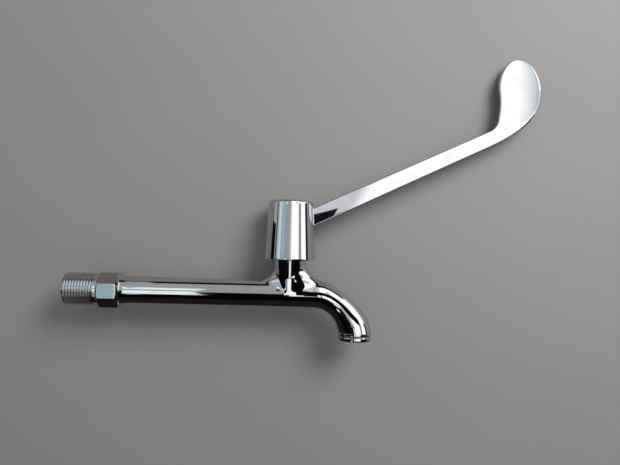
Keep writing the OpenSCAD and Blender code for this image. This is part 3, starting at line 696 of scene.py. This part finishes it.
def elbow_lever():
    """Flat bar that widens into a paddle, with rounded edges and a faintly crowned face."""
    across = (1 - np.cos(np.linspace(0, math.pi, ACROSS_STEPS))) / 2
    rings = []
    for inner, outer, rim, to_tip in lever_stations():
        width = np.linalg.norm(outer - inner)
        inner_round = min(ARM_EDGE, width * EDGE_SHARE)
        outer_round = min(ARM_EDGE + (PADDLE_RIM - ARM_EDGE) * rim, width * EDGE_SHARE)
        outer_drop = ARM_EDGE + (PADDLE_RIM_DROP - ARM_EDGE) * rim
        lost = np.maximum(
            lost_at_edge(across * width, inner_round, ARM_EDGE),
            lost_at_edge((1 - across) * width, outer_round, outer_drop))
        lost = np.maximum(lost, lost_at_edge(to_tip, ARM_EDGE, ARM_EDGE))
        half = ARM_T / 2 - lost - FACE_CROWN * (2 * across - 1) ** 2
        line = inner + np.outer(across, outer - inner)
        near = np.column_stack([line[:, 0], -half, line[:, 1]])
        far = np.column_stack([line[:, 0], half, line[:, 1]])
        rings.append(np.vstack([near, far[::-1]]))
    return loft("elbow_lever", rings, angle=50)


# Materials

# Sockets of a Mix node that blends two colours
SHARE = 0
FIRST = 6
SECOND = 7
BLEND = 2

# Sizes of the hazy patches on chrome and of the specks in them
HAZE_PATCH = 14.0
HAZE_SPECK = 0.9


def linear(code):
    """Linear colour from an sRGB hex code."""
    shares = [int(code[i:i + 2], 16) / 255 for i in (1, 3, 5)]
    return tuple(s / 12.92 if s <= 0.04045 else ((s + 0.055) / 1.055) ** 2.4 for s in shares) + (1.0,)


def add(tree, kind, inputs=None, **settings):
    """Adds a node with its settings, and sets or links its inputs."""
    made = tree.nodes.new(kind)
    for name, value in settings.items():
        setattr(made, name, value)
    for socket, value in (inputs or {}).items():
        if isinstance(value, bpy.types.NodeSocket):
            tree.links.new(value, made.inputs[socket])
        else:
            made.inputs[socket].default_value = value
    return made


def new_material(name):
    """An empty node material and its tree."""
    material = bpy.data.materials.new(name)
    material.use_nodes = True
    material.node_tree.nodes.clear()
    return material, material.node_tree


def per_mm(size):
    """Texture scale of a pattern whose features are a size in millimetres."""
    return 1 / (size * MM)


def chrome_plate(name, clean, hazed, polish, haze, wave, wave_h):
    """Bright chrome over polished metal: a cold mirror.

    It has slow waves from buffing, and faint hazy patches left by handling.
    """
    material, tree = new_material(name)
    place = add(tree, "ShaderNodeTexCoord").outputs["Object"]
    patches = add(tree, "ShaderNodeTexNoise", {
        "Vector": place, "Scale": per_mm(HAZE_PATCH), "Detail": 4.0, "Roughness": 0.6}).outputs["Fac"]
    hazy = add(tree, "ShaderNodeMapRange", {
        "Value": patches, "From Min": 0.48, "From Max": 0.75}).outputs["Result"]
    specks = add(tree, "ShaderNodeTexNoise", {
        "Vector": place, "Scale": per_mm(HAZE_SPECK), "Detail": 2.0}).outputs["Fac"]
    grain = add(tree, "ShaderNodeMath", {0: hazy, 1: specks}, operation="MULTIPLY").outputs[0]
    colour = add(tree, "ShaderNodeMix", {
        SHARE: grain, FIRST: linear(clean), SECOND: linear(hazed)}, data_type="RGBA").outputs[BLEND]
    rough = add(tree, "ShaderNodeMapRange", {
        "Value": grain, "To Min": polish, "To Max": haze}).outputs["Result"]
    waves = add(tree, "ShaderNodeTexNoise", {
        "Vector": place, "Scale": per_mm(wave), "Detail": 1.0}).outputs["Fac"]
    bump = add(tree, "ShaderNodeBump", {
        "Height": waves, "Strength": 1.0, "Distance": wave_h * MM}).outputs["Normal"]
    shader = add(tree, "ShaderNodeBsdfPrincipled", {
        "Base Color": colour, "Metallic": 1.0, "Roughness": rough, "Normal": bump}).outputs["BSDF"]
    add(tree, "ShaderNodeOutputMaterial", {"Surface": shader})
    return material


def grained(name, light, dark, size, rough, grain_h, metallic=0.0):
    """A plain inner piece: two close tones in a fine grain that also lies in the surface."""
    material, tree = new_material(name)
    place = add(tree, "ShaderNodeTexCoord").outputs["Object"]
    noise = add(tree, "ShaderNodeTexNoise", {
        "Vector": place, "Scale": per_mm(size), "Detail": 4.0}).outputs["Fac"]
    colour = add(tree, "ShaderNodeMix", {
        SHARE: noise, FIRST: linear(light), SECOND: linear(dark)}, data_type="RGBA").outputs[BLEND]
    rough_out = add(tree, "ShaderNodeMapRange", {
        "Value": noise, "To Min": rough * 0.8, "To Max": rough * 1.2}).outputs["Result"]
    bump = add(tree, "ShaderNodeBump", {
        "Height": noise, "Strength": 1.0, "Distance": grain_h * MM}).outputs["Normal"]
    shader = add(tree, "ShaderNodeBsdfPrincipled", {
        "Base Color": colour, "Metallic": metallic,
        "Roughness": rough_out, "Normal": bump}).outputs["BSDF"]
    add(tree, "ShaderNodeOutputMaterial", {"Surface": shader})
    return material


finishes = {
    "chrome_plated_casting": chrome_plate(
        "chrome_plated_brass", clean="#C8C9CB", hazed="#B4B6B8",
        polish=0.03, haze=0.14, wave=14, wave_h=0.012),
    "chrome_plated_collar": chrome_plate(
        "chrome_plated_outlet", clean="#C4C5C7", hazed="#ADB0B2",
        polish=0.05, haze=0.2, wave=5, wave_h=0.008),
    "chrome_plated_hub": chrome_plate(
        "chrome_plated_hub", clean="#C9CACC", hazed="#B6B8BA",
        polish=0.03, haze=0.14, wave=11, wave_h=0.015),
    "polished_chrome_arm": chrome_plate(
        "chrome_plated_steel_bar", clean="#CACBCD", hazed="#B6B9BC",
        polish=0.02, haze=0.07, wave=18, wave_h=0.018),
    "chrome_plated_cap": chrome_plate(
        "chrome_plated_cap", clean="#C7C8CA", hazed="#B2B4B6",
        polish=0.04, haze=0.16, wave=6, wave_h=0.006),
    # Machined brass: warm, with fine tool marks
    "turned_brass": grained(
        "machined_brass", light="#D8B566", dark="#B98F44",
        size=0.5, rough=0.28, grain_h=0.004, metallic=1.0),
    # Fired alumina: almost white, lapped to a soft gloss
    "white_ceramic": grained(
        "fired_alumina", light="#F1EEE6", dark="#E4E0D6",
        size=0.4, rough=0.25, grain_h=0.001),
    # Moulded nitrile rubber: near black, with a dull skin
    "black_rubber": grained(
        "nitrile_rubber", light="#1F1F21", dark="#2B2B2D",
        size=0.3, rough=0.65, grain_h=0.006),
    # Moulded nylon: milky white with a waxy gloss
    "white_nylon": grained(
        "moulded_nylon", light="#E8E9EA", dark="#D8DADC",
        size=0.6, rough=0.42, grain_h=0.003),
    # Tempered strip: grey, with a faint blue cast
    "spring_steel": grained(
        "spring_steel", light="#9A9CA0", dark="#7F8287",
        size=0.4, rough=0.3, grain_h=0.003, metallic=1.0),
    # Stainless steel: bright grey, with rolling marks
    "stainless_steel": grained(
        "stainless_steel", light="#B9BBBE", dark="#9EA1A4",
        size=0.4, rough=0.26, grain_h=0.003, metallic=1.0),
}

node_slots = {
    "flow_straightener": "white_nylon",
    "outlet_washer": "black_rubber",
    "headwork_body": "turned_brass",
    "headwork_seal": "black_rubber",
    "seat_seal": "black_rubber",
    "seal_support_ring": "white_nylon",
    "fixed_disc": "white_ceramic",
    "moving_disc": "white_ceramic",
    "spindle": "turned_brass",
    "thrust_washer": "white_nylon",
    "lower_spindle_seal": "black_rubber",
    "upper_spindle_seal": "black_rubber",
    "retaining_clip": "spring_steel",
    "splined_bush": "white_nylon",
    "handle_screw": "stainless_steel",
    "screw_washer": "stainless_steel",
}
for node, slot in node_slots.items():
    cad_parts[node].material_slots[0].material = finishes[slot]

# Pieces that stand for the nodes that show
dressed = [
    (tap_casting(), "tap_body", "tap", "chrome_plated_casting"),
    (outlet_ring(), "outlet_collar", "tap", "chrome_plated_collar"),
    (lever_cup(), "lever_hub", "lever", "chrome_plated_hub"),
    (plain_cap(), "screw_cap", "lever", "chrome_plated_cap"),
    (elbow_lever(), "lever_arm", "lever", "polished_chrome_arm"),
]
for piece, node, body, slot in dressed:
    piece.data.materials.clear()
    piece.data.materials.append(finishes[slot])
    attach(piece, body)
    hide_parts(node)

# Floor: a plane close behind the hub that leans a little and is seen only from its front
FLOOR_Y = 18.3
FLOOR_LEAN = 0.1
FLOOR_SIZE = 12000.0
FLOOR_CLOUD = 90.0
FLOOR_GRIT = 1.5
FLOOR_GRIT_H = 0.05


def floor_material():
    """Worn cement tile: warm grey with faint cloudy patches and fine grit."""
    material, tree = new_material("cement_tile")
    place = add(tree, "ShaderNodeTexCoord").outputs["Object"]
    clouds = add(tree, "ShaderNodeTexNoise", {
        "Vector": place, "Scale": per_mm(FLOOR_CLOUD), "Detail": 5.0, "Roughness": 0.55}).outputs["Fac"]
    colour = add(tree, "ShaderNodeMix", {
        SHARE: clouds, FIRST: linear("#92908E"), SECOND: linear("#989694"),
    }, data_type="RGBA").outputs[BLEND]
    grit = add(tree, "ShaderNodeTexNoise", {
        "Vector": place, "Scale": per_mm(FLOOR_GRIT), "Detail": 2.0}).outputs["Fac"]
    bump = add(tree, "ShaderNodeBump", {
        "Height": grit, "Strength": 0.3, "Distance": FLOOR_GRIT_H * MM}).outputs["Normal"]
    front = add(tree, "ShaderNodeBsdfPrincipled", {
        "Base Color": colour, "Roughness": 0.6, "Normal": bump}).outputs["BSDF"]
    behind = add(tree, "ShaderNodeBsdfTransparent").outputs["BSDF"]
    back_side = add(tree, "ShaderNodeNewGeometry").outputs["Backfacing"]
    crossed = add(tree, "ShaderNodeLightPath").outputs["Transparent Depth"]
    clear = add(tree, "ShaderNodeMath", {0: back_side, 1: crossed}, operation="MAXIMUM").outputs[0]
    mixed = add(tree, "ShaderNodeMixShader", {0: clear, 1: front, 2: behind}).outputs["Shader"]
    add(tree, "ShaderNodeOutputMaterial", {"Surface": mixed})
    return material


bpy.ops.object.select_all(action="DESELECT")
bpy.ops.mesh.primitive_plane_add(
    size=FLOOR_SIZE * MM, location=(STEM_X * MM, FLOOR_Y * MM, HUB_BOTTOM_Z * MM),
    rotation=(math.pi / 2 + math.atan(FLOOR_LEAN), 0, 0))
floor = bpy.context.object
floor.name = "floor"
bpy.ops.object.transform_apply(location=True, rotation=True, scale=True)
floor.data.materials.append(floor_material())

# Middle of the view
MIDDLE = Vector((156.6, 0, 39.8)) * MM

# Studio cards that only the chrome sees: panels of light and black flags around the viewpoint, painted
# reflections that light nothing and cast no shadow
CARD_STEPS = 16
WHITE = "#FFFFFF"
PALE = "#F1F7F8"
DUSK = "#0E141C"
BLACK = "#07080B"
# Distances of cards on a ball round the middle of the view
FAR = 1600.0
NEARER = 1560.0
NEAREST = 1520.0
BESIDE = 450.0
CLOSE = 300.0
# Distances of flat cards in front of the tap
SPOUT_OUT = 60.0
FOOT_OUT = 20.0
# Heights of strips that stand on the floor
FAR_STRIP_Z = 460.0
BARREL_STRIP_Z = -40.0
THREAD_STRIP_Z = -60.0
NEAR_STRIP_Z = -165.0


def on_ball(across, up, far=FAR):
    """Places on a wide ball round the tap, between angles to the right and angles upwards."""
    def place(s, t):
        right = math.radians(across[0] + (across[1] - across[0]) * s)
        rise = math.radians(up[0] + (up[1] - up[0]) * t)
        level = math.cos(rise)
        way = Vector((math.sin(right) * level, -math.cos(right) * level, math.sin(rise)))
        return MIDDLE + way * far * MM
    return place


def standing(across, out, height):
    """Places on an upright strip that stands on the floor at a height."""
    def place(s, t):
        x = across[0] + (across[1] - across[0]) * s
        return Vector((x, out[0] + (out[1] - out[0]) * t, height)) * MM
    return place


def facing(across, up, out):
    """Places on a flat panel in front of the tap, level with it and at a distance."""
    def place(s, t):
        x = across[0] + (across[1] - across[0]) * s
        return Vector((x, -out, up[0] + (up[1] - up[0]) * t)) * MM
    return place


def card(name, code, strength, place, fade=0.0):
    """A glowing or dark panel that only the chrome sees: a painted highlight or a painted dark reflection.

    Its left and right edges fade over a share of its width.
    """
    bpy.ops.object.select_all(action="DESELECT")
    bpy.ops.mesh.primitive_grid_add(x_subdivisions=CARD_STEPS, y_subdivisions=CARD_STEPS, size=1)
    panel = bpy.context.object
    panel.name = name
    inward = [0.5 - abs(vert.co.x) for vert in panel.data.vertices]
    for vert in panel.data.vertices:
        vert.co = place(vert.co.x + 0.5, vert.co.y + 0.5)
    material, tree = new_material(name)
    glow = add(tree, "ShaderNodeEmission", {
        "Color": linear(code), "Strength": strength}).outputs["Emission"]
    if fade:
        edge = panel.data.attributes.new("edge", "FLOAT", "POINT")
        edge.data.foreach_set("value", np.clip(np.array(inward) / fade, 0, 1))
        share = add(tree, "ShaderNodeAttribute", attribute_name="edge").outputs["Fac"]
        clear = add(tree, "ShaderNodeBsdfTransparent").outputs["BSDF"]
        glow = add(tree, "ShaderNodeMixShader", {0: share, 1: clear, 2: glow}).outputs["Shader"]
    add(tree, "ShaderNodeOutputMaterial", {"Surface": glow})
    panel.data.materials.append(material)
    panel.visible_camera = False
    panel.visible_diffuse = False
    panel.visible_shadow = False
    panel.visible_transmission = False


card("left_pane_far", "#D3E4EA", 1.25, on_ball((-58, -41), (-2, 40)), fade=0.2)
card("left_pane_near", "#9CC3CE", 1.25, on_ball((-42, -24), (-2, 40)), fade=0.2)
card("left_post", "#101114", 1.0, on_ball((-69, -64), (-2, 60)))
card("left_low_pane", "#B4D0D5", 1.0, on_ball((-27, -23.6), (-30, -2)))
card("left_low_panel", PALE, 1.5, on_ball((-23.6, -14.2), (-24, 2.2)))
card("left_high_panel", PALE, 1.5, on_ball((-23.6, -14.2), (11, 26)))
card("right_panel", WHITE, 1.7, on_ball((5.4, 40), (-16, 62)))
card("right_panel_far", WHITE, 1.7, on_ball((53, 76), (-3, 62)))
card("right_panel_high", WHITE, 1.7, on_ball((38, 86), (17, 62)))
card("right_gap", "#BECAD0", 1.3, on_ball((25.6, 37), (13, 34), NEARER), fade=0.3)
# Painted shade: a dark warm grey that stands for the floor in the hub's shadow, mirrored on the hub's right
# side
card("right_flag", "#3A3533", 1.0, on_ball((76, 89), (-30, 17)))
card("middle_panel", "#D8D6DC", 1.35, on_ball((-2, 7.5), (1.2, 62), NEARER), fade=0.2)
card("middle_low_panel", WHITE, 1.5, on_ball((-3, 4.2), (-18, -1.5)))
card("viewpoint", DUSK, 1.0, on_ball((-1.5, 3.8), (-1.2, 2.9), NEAREST))
# Painted shade: a thin dark line beside the viewpoint that stands for the lever arm's shadow, mirrored in
# the neck's bright stripe
card("arm_shadow_line", DUSK, 1.0, on_ball((4.2, 6.6), (-16, 1.2), NEARER))
card("low_flag_left", BLACK, 1.0, on_ball((-80, -27), (-84, -2.5)))
card("low_flag_pane", BLACK, 1.0, on_ball((-27, -23.6), (-84, -30)))
card("low_flag_panel", BLACK, 1.0, on_ball((-23.6, -14.2), (-84, -24)))
card("low_flag_neck", BLACK, 1.0, on_ball((-14.2, -3), (-84, -2.5)))
card("low_flag_middle", BLACK, 1.0, on_ball((-3, 40), (-84, -17)))
card("low_flag_right", BLACK, 1.0, on_ball((40, 80), (-84, -3.5)))
card("neck_flag", BLACK, 1.0, on_ball((-23, -4.4), (-25, -7), CLOSE))
card("spout_flag", BLACK, 1.0, facing((155, 250), (1, 25.5), SPOUT_OUT))
card("tee_flag", BLACK, 1.0, facing((153, 161), (-13, 1.5), SPOUT_OUT))
card("foot_panel", WHITE, 1.5, facing((140.5, 148.5), (-1.5, 8), FOOT_OUT))
card("foot_flag", BLACK, 1.0, facing((148.5, 156.5), (-1.5, 8.5), FOOT_OUT))
card("foot_flag_left", BLACK, 1.0, facing((135.2, 140.5), (7.2, 22), FOOT_OUT))
card("left_flag", BLACK, 1.0, on_ball((-91, -72), (-30, 6.6), BESIDE))
card("far_strip_left", "#7C7472", 1.0, standing((-260, -80), (-120, 12), FAR_STRIP_Z))
card("far_strip", "#2A2726", 1.0, standing((-80, 620), (-195, 12), FAR_STRIP_Z))
card("near_strip", BLACK, 1.0, standing((-600, 900), (-60, 30), NEAR_STRIP_Z))
# Painted shade: a dark brown strip that stands for the floor in the barrel's shadow, mirrored on the
# barrel's lower flank
card("barrel_strip", "#231F1E", 1.0, standing((4, 230), (-30, 22), BARREL_STRIP_Z))
card("thread_strip", "#A9A8A6", 1.0, standing((-90, -4), (-130, -10), THREAD_STRIP_Z))
# Painted shade: a grey strip that stands for the floor in shadow under the thread, mirrored in its lower
# ridges
card("thread_shaded_floor", "#6B6967", 1.0, standing((-60, 4), (-30, 22), BARREL_STRIP_Z))
# Cards behind the floor, for the sides that are seen only from there
card("back_panel", WHITE, 1.4, on_ball((152, 212), (-2, 50)), fade=0.1)
card("back_side_left", BLACK, 1.0, on_ball((240, 256), (-30, 60)))
card("back_side_right", BLACK, 1.0, on_ball((104, 120), (-30, 60)))
card("back_low", "#1C1D20", 1.0, on_ball((120, 240), (-70, -38)))

# World: the even light of the room, paler where it is seen or mirrored
world = bpy.data.worlds.new("even_room")
bpy.context.scene.world = world
world.use_nodes = True
room = world.node_tree
room.nodes.clear()
path = add(room, "ShaderNodeLightPath").outputs
mirrored = add(room, "ShaderNodeMath", {
    0: path["Is Camera Ray"], 1: path["Is Glossy Ray"]}, operation="MAXIMUM").outputs[0]
seen = add(room, "ShaderNodeMath", {
    0: mirrored, 1: path["Is Transmission Ray"]}, operation="MAXIMUM").outputs[0]
level = add(room, "ShaderNodeMapRange", {
    "Value": seen, "To Min": 0.72, "To Max": 1.0}).outputs["Result"]
even = add(room, "ShaderNodeBackground", {
    "Color": linear("#B9BABB"), "Strength": level}).outputs["Background"]
add(room, "ShaderNodeOutputWorld", {"Surface": even})


def lamp(name, power, size, place, towards):
    """A square soft lamp that the chrome doesn't show, because the cards stand for it there."""
    light = bpy.data.lights.new(name, "AREA")
    light.energy = power
    light.size = size
    holder = bpy.data.objects.new(name, light)
    bpy.context.scene.collection.objects.link(holder)
    holder.location = place
    holder.rotation_euler = (Vector(towards) - Vector(place)).to_track_quat("-Z", "Y").to_euler()
    holder.visible_camera = False
    holder.visible_glossy = False


lamp("window_light", power=6.6, size=0.4, place=(0.6, -0.6, 0.5), towards=MIDDLE)

# Camera: level, square to the floor, a little rolled
VIEW_FAR = 350.0
VIEW_W = 401.0
VIEW_ROLL = math.radians(1.35)
camera = bpy.data.cameras.new("camera")
camera.sensor_width = 36.0
camera.lens = camera.sensor_width * VIEW_FAR / VIEW_W
camera.clip_start = 0.01
viewer = bpy.data.objects.new("camera", camera)
bpy.context.scene.collection.objects.link(viewer)
viewer.location = MIDDLE + Vector((0, -VIEW_FAR * MM, 0))
viewer.rotation_euler = (math.pi / 2, -VIEW_ROLL, 0)
bpy.context.scene.camera = viewer
bpy.context.scene.view_settings.view_transform = "Standard"
